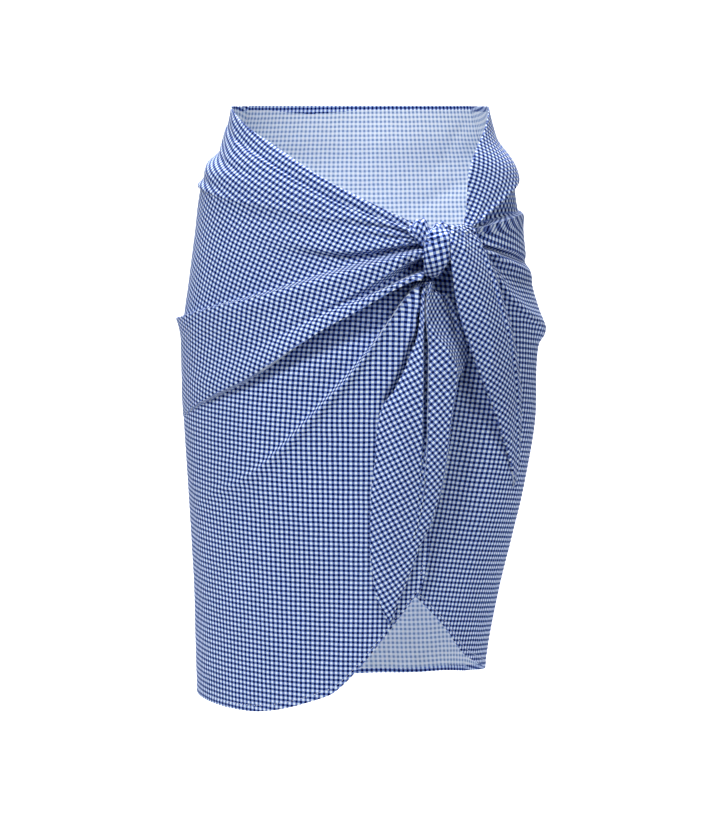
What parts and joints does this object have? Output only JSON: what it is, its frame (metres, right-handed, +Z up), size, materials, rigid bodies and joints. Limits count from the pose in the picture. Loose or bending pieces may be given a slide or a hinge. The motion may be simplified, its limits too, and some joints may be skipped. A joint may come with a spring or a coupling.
{
  "type": "beach cover-up",
  "caption": "Knee-length sarong wrap skirt in small blue and white checks, worn form, tied in a front knot with two hanging ends.",
  "frame": {"origin": "middle of the hollow at the height where the knot grips the hips, where the wearer holds the garment up", "axes": "+Z up from hem to waist, -Y towards the front of the wearer, +X towards the wearer's left, the side of the knot"},
  "size_m": [0.3842, 0.28, 0.622],
  "materials": {
    "cloth": "matte plain weave in a small woven check"
  },
  "bodies": {
    "root": {"back": "cloth", "under_wrap": "cloth", "over_wrap": "cloth", "knot_core": "cloth", "knot_band": "cloth", "long_tail": "cloth", "leaf_tail": "cloth"}
  },
  "joints": []
}
